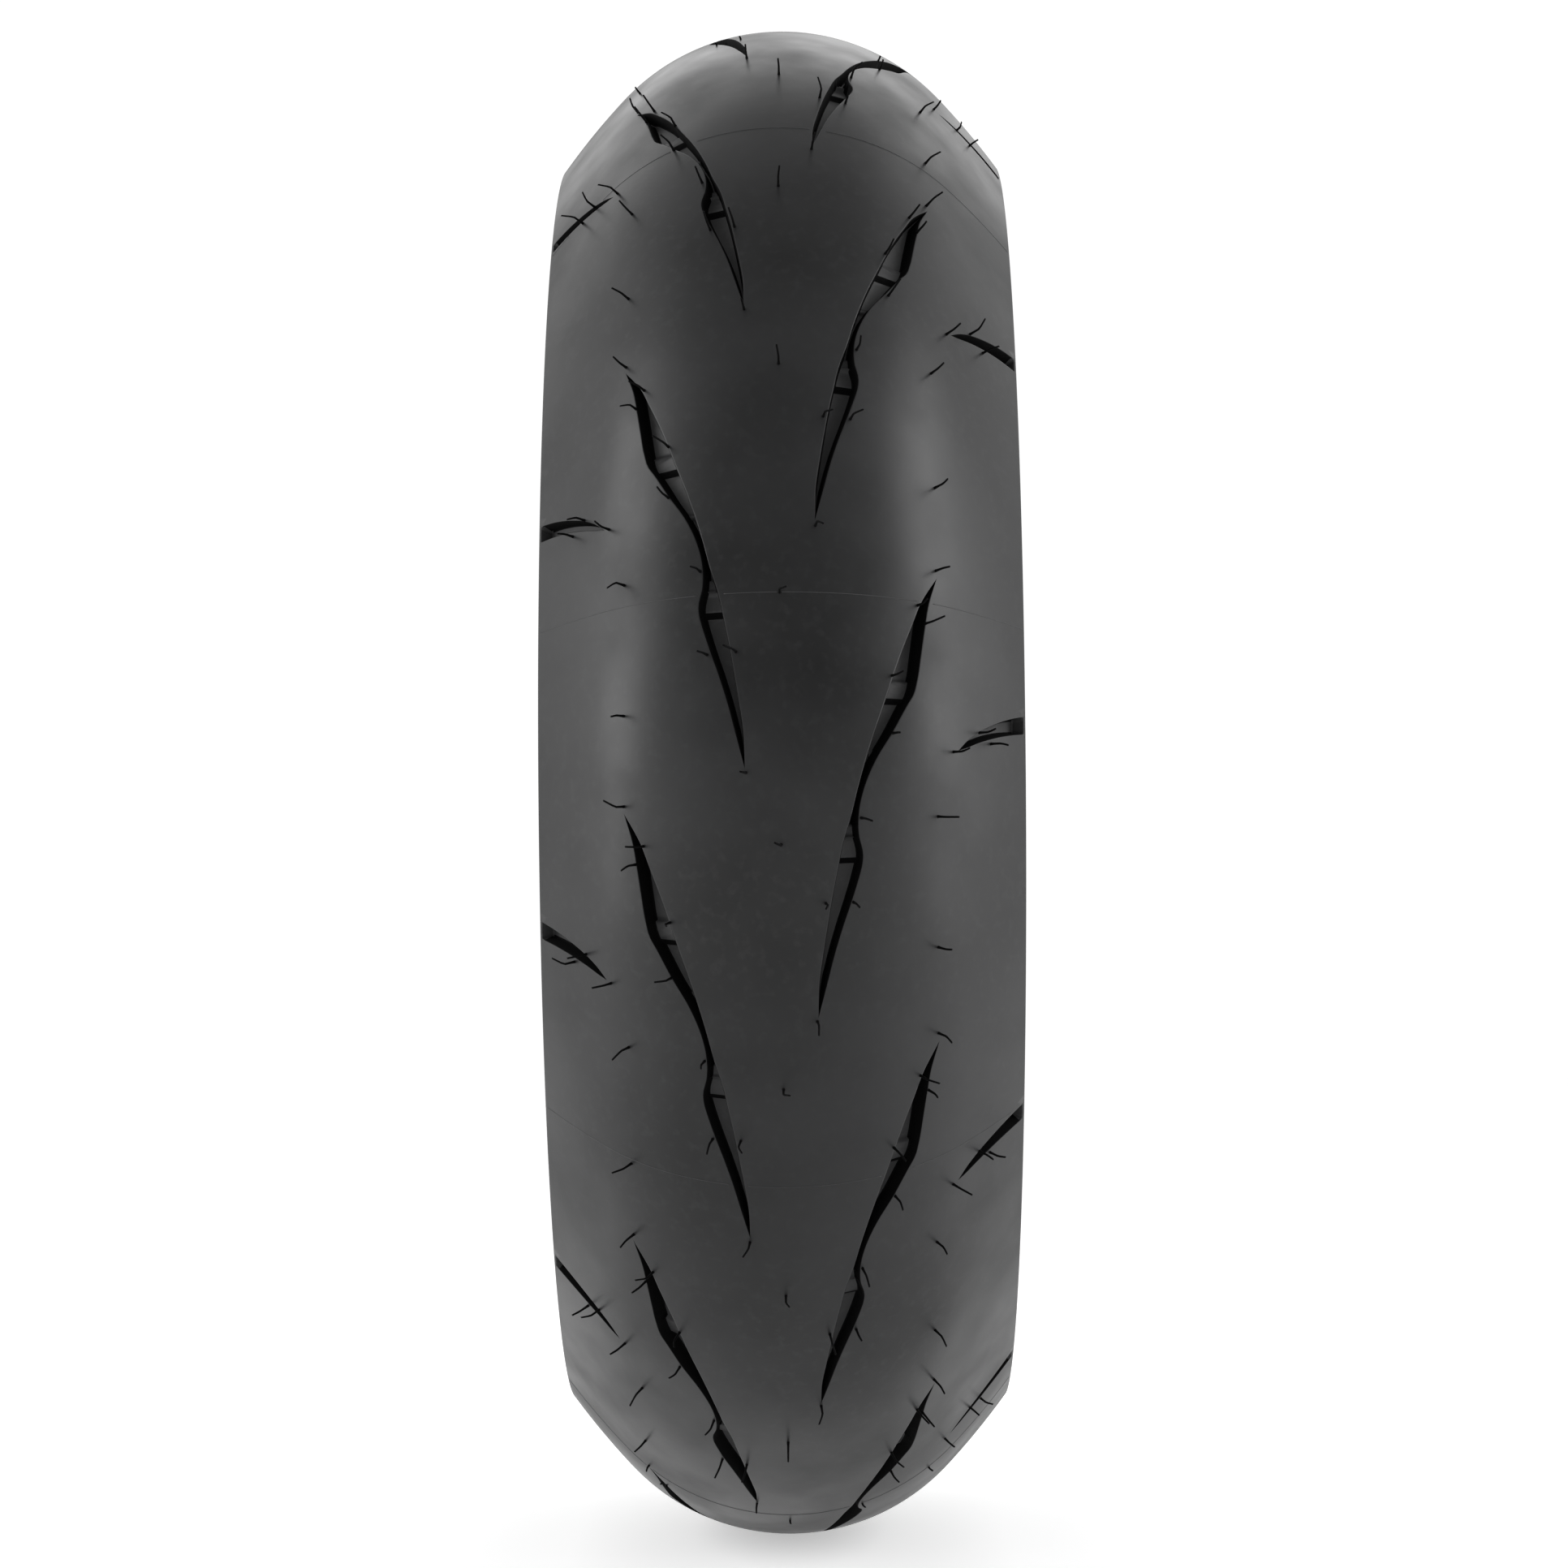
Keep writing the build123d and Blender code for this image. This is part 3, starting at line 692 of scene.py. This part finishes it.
def make_hairs(material):
    places, faces = [], []
    for side, first_tip in ((1, RIGHT_TIP), (-1, LEFT_TIP)):
        for pitch in range(PITCHES):
            tip = first_tip + pitch * 2 * math.pi / PITCHES
            for arc, along in VENTS:
                jitter = random.uniform(-HAIR_JITTER, HAIR_JITTER)
                hair(places, faces, arc + jitter, along + jitter, side, tip)
            if side < 0:
                for along in MIDDLE_VENTS:
                    hair(places, faces, 0.0, along, side, tip)
    mesh = bpy.data.meshes.new("hairs")
    mesh.from_pydata(places, [], faces)
    return finished(mesh, "vent_hairs", material, weld=0)


SECTORS = 9
SECTOR_TURN = math.radians(10.2)
FLASH_WIDTH = 0.26              # half of its width at its foot, which lies in the rubber
FLASH_HEIGHT = 0.10
FLASH_FOOT = 0.3


def flash_runs(turn, side):
    """Stretches of a sector line that lie on the tread surface, clear of grooves and slots."""
    first_tip = RIGHT_TIP if side > 0 else LEFT_TIP
    runs, run = [], []
    for arc in np.arange(0.0, EDGE_ARC - 0.3, 1.0):
        along = ((first_tip - turn) * OUTER_RADIUS - SEAM_PLACE) % PITCH + SEAM_PLACE
        if inside_pattern(arc, along, 1.0):
            if len(run) > 2:
                runs.append(run)
            run = []
        else:
            run.append(arc)
    return runs + [run] if len(run) > 2 else runs


def make_flash(material):
    """Fine raised lines where the mould's sectors met."""
    profile = ((-FLASH_WIDTH, FLASH_FOOT), (-FLASH_WIDTH / 3, -FLASH_HEIGHT),
               (FLASH_WIDTH / 3, -FLASH_HEIGHT), (FLASH_WIDTH, FLASH_FOOT))
    places, faces = [], []
    for sector in range(SECTORS):
        turn = SECTOR_TURN + sector * 2 * math.pi / SECTORS
        for side in (1, -1):
            for run in flash_runs(turn, side):
                offset = len(places)
                for arc in run:
                    places += [on_tire(arc, along, depth, side, turn) for along, depth in profile]
                for i in range(len(run) - 1):
                    a, b = offset + 4 * i, offset + 4 * (i + 1)
                    faces += [(a + k, a + (k + 1) % 4, b + (k + 1) % 4, b + k) for k in range(4)]
                faces += [tuple(offset + k for k in (3, 2, 1, 0)),
                          tuple(offset + 4 * (len(run) - 1) + k for k in range(4))]
    mesh = bpy.data.meshes.new("flash")
    mesh.from_pydata(places, [], faces)
    return finished(mesh, "mould_flash_lines", material, weld=0)


# ---- the pieces -----------------------------------------------------------------------------------
TREAD_RUBBER = rubber("tread_rubber", (0.007, 0.0071, 0.0074), (0.0205, 0.0207, 0.0213), 0.40, mottle=12.0,
                      relief=0.2)
# Near-black, matt rubber for groove walls and the slopes below wear bars: painted shade and painted shadow.
GROOVE_SHADE_RUBBER = rubber("groove_wall_painted_shade", (0.0016, 0.0016, 0.0017), (0.0022, 0.0022, 0.0023), 0.85,
                       specular=0.08)
# Groove floors and slot ends in rubber lighter than the tread, to brighten them against the shade in the
# grooves: painted light.
FLOOR_LIGHT_RUBBER = rubber("groove_floor_painted_light", (0.022, 0.022, 0.0225), (0.034, 0.034, 0.035), 0.5)
# Flash lines in rubber lighter than the tread: a painted highlight on their ridges.
FLASH_HIGHLIGHT_RUBBER = rubber("flash_painted_highlight", (0.03, 0.03, 0.031), (0.045, 0.045, 0.046), 0.5)
# Hairs in near-black, matt rubber, darker than the tread rubber they are made of: painted shade.
HAIR_SHADE_RUBBER = rubber("hair_painted_shade", (0.0012, 0.0012, 0.0013), (0.002, 0.002, 0.0021), 0.8, specular=0.1)
WALL_RUBBER = rubber("wall_rubber", (0.012, 0.012, 0.0125), (0.018, 0.018, 0.0185), 0.45, relief=0.2)
CUSHION_RUBBER = rubber("cushion_rubber", (0.010, 0.010, 0.0105), (0.016, 0.016, 0.0165), 0.38, relief=0.15)
LINER_RUBBER = rubber("liner_rubber", (0.014, 0.014, 0.0145), (0.024, 0.024, 0.025), 0.5, mottle=16.0)
INNER_RUBBER = rubber("inner_rubber", (0.015, 0.014, 0.013), (0.026, 0.025, 0.023), 0.6)
STEEL = metal("cord_steel", (0.42, 0.33, 0.18), (0.66, 0.56, 0.36), 0.35)
PLY_FABRIC = cord_fabric("ply_fabric", (0.22, 0.16, 0.09), (0.5, 0.4, 0.24), 1.2)
CHAFER_FABRIC = cord_fabric("chafer_fabric", (0.02, 0.019, 0.017), (0.07, 0.065, 0.06), 0.9)

BY_SLOT = {
    "cord_steel": STEEL, "bead_steel": STEEL, "ply_fabric": PLY_FABRIC, "chafer_fabric": CHAFER_FABRIC,
    "tread_compound_hard": TREAD_RUBBER, "tread_compound_soft": TREAD_RUBBER,
    "sidewall_rubber": WALL_RUBBER, "cushion_rubber": CUSHION_RUBBER, "liner_rubber": LINER_RUBBER,
}
for part in frame["record"]["subparts"]:
    node = frame["nodes"][part["node"]]
    node.data.materials.clear()
    node.data.materials.append(BY_SLOT.get(part["material_slot"], INNER_RUBBER))

tread = finished(tread_mesh(), "tread_rubber", TREAD_RUBBER, GROOVE_SHADE_RUBBER, FLOOR_LIGHT_RUBBER)
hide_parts("tread_centre", "tread_shoulder_left", "tread_shoulder_right")
for side, word in ((1, "right"), (-1, "left")):
    make_wall(side, word, WALL_RUBBER)
    make_cushion(side, word, CUSHION_RUBBER)
make_liner(LINER_RUBBER)
make_hairs(HAIR_SHADE_RUBBER)
make_flash(FLASH_HIGHLIGHT_RUBBER)


# ---- stage, light and camera ----------------------------------------------------------------------
FLOOR_HALF = 6.0
FLOOR_GLOW = 0.45
DIM_PLACE = 0.6                 # the middle of a round patch in front of the tire that doesn't glow
DIM_REACH = (0.2, 0.52)         # distances from there between which the glow comes back


def make_floor():
    """A wide, flat, pale floor that glows a little, except on a patch in front of the tire."""
    mesh = bpy.data.meshes.new("floor")
    corners = [(x * FLOOR_HALF, y * FLOOR_HALF, floor_z) for x, y in ((-1, -1), (1, -1), (1, 1), (-1, 1))]
    mesh.from_pydata(corners, [], [(0, 1, 2, 3)])
    floor = bpy.data.objects.new("floor", mesh)
    bpy.context.scene.collection.objects.link(floor)
    n = Nodes("floor_paint")
    n.join(n.mix(n.noise(3.0), (0.86, 0.86, 0.86), (0.9, 0.9, 0.9)), n.shader, "Base Color")
    n.shader.inputs["Roughness"].default_value = 0.9
    n.shader.inputs["Emission Color"].default_value = (1, 1, 1, 1)
    away = n.tree.nodes.new("ShaderNodeVectorMath")
    away.operation = "DISTANCE"
    away.inputs[1].default_value = (DIM_PLACE, 0.0, floor_z)
    n.join(n.place, away, 0)
    glow = n.remap(away.outputs["Value"], *DIM_REACH, 0.0, FLOOR_GLOW)
    glow.node.interpolation_type = "SMOOTHSTEP"
    n.join(glow, n.shader, "Emission Strength")
    mesh.materials.append(n.material)


def soft_light(name, place, size, power):
    data = bpy.data.lights.new(name, "AREA")
    data.shape = "RECTANGLE"
    data.size, data.size_y = size
    data.energy = power
    light = bpy.data.objects.new(name, data)
    bpy.context.scene.collection.objects.link(light)
    light.location = place
    light.rotation_euler = (-Vector(place)).to_track_quat("-Z", "Y").to_euler()


# How the surround fades with the way it is seen in: from and to on that axis, then its two strengths.
FADE_TO_FRONT = (0.1, 0.85, 1.05, 0.32)
FADE_TO_TOP = (0.55, 0.95, 1.0, 0.35)

# Soft lights: name, place, size and power.
LIGHTS = (
    ("light_left", (0.5, -1.9, 0.5), (0.9, 2.2), 24),
    ("light_right", (0.5, 1.9, 0.5), (0.9, 2.2), 24),
    ("light_back", (-1.5, 0.0, 1.5), (2.2, 1.0), 7),
)


def make_light():
    """A white surround, dimmer in front of the tread and straight above, and soft lights on both sides."""
    world = bpy.data.worlds.new("surround")
    world.use_nodes = True
    tree = world.node_tree
    way = tree.nodes.new("ShaderNodeTexCoord")
    split = tree.nodes.new("ShaderNodeSeparateXYZ")
    tree.links.new(way.outputs["Generated"], split.inputs[0])
    both = tree.nodes.new("ShaderNodeMath")
    both.operation = "MULTIPLY"
    fades = (remapped(tree, split.outputs["X"], *FADE_TO_FRONT),
             remapped(tree, split.outputs["Z"], *FADE_TO_TOP))
    for fade, socket in zip(fades, both.inputs):
        fade.node.interpolation_type = "SMOOTHSTEP"
        tree.links.new(fade, socket)
    tree.links.new(both.outputs[0], tree.nodes["Background"].inputs["Strength"])
    tree.nodes["Background"].inputs["Color"].default_value = (1, 1, 1, 1)
    bpy.context.scene.world = world
    for light in LIGHTS:
        soft_light(*light)


LENS = 98.49
CAMERA_PLACE = Vector((1.8244, 0.0112, -0.0696))
CAMERA_ROLL = 0.00716
CAMERA_SHIFT = (-0.0015, -0.0009)


def make_camera():
    data = bpy.data.cameras.new("camera")
    data.lens, data.sensor_width = LENS, 36.0
    data.shift_x, data.shift_y = CAMERA_SHIFT
    data.clip_start = 0.05
    camera = bpy.data.objects.new("camera", data)
    bpy.context.scene.collection.objects.link(camera)
    ahead = -CAMERA_PLACE.normalized()
    right = ahead.cross(Vector((0, 0, 1))).normalized()
    up = right.cross(ahead)
    turned_up = up * math.cos(CAMERA_ROLL) + right * math.sin(CAMERA_ROLL)
    turned_right = ahead.cross(turned_up)
    camera.matrix_world = Matrix.Translation(CAMERA_PLACE) @ Matrix(
        (turned_right, turned_up, -ahead)).transposed().to_4x4()
    bpy.context.scene.camera = camera


make_floor()
make_light()
make_camera()
bpy.context.scene.view_settings.view_transform = "Standard"
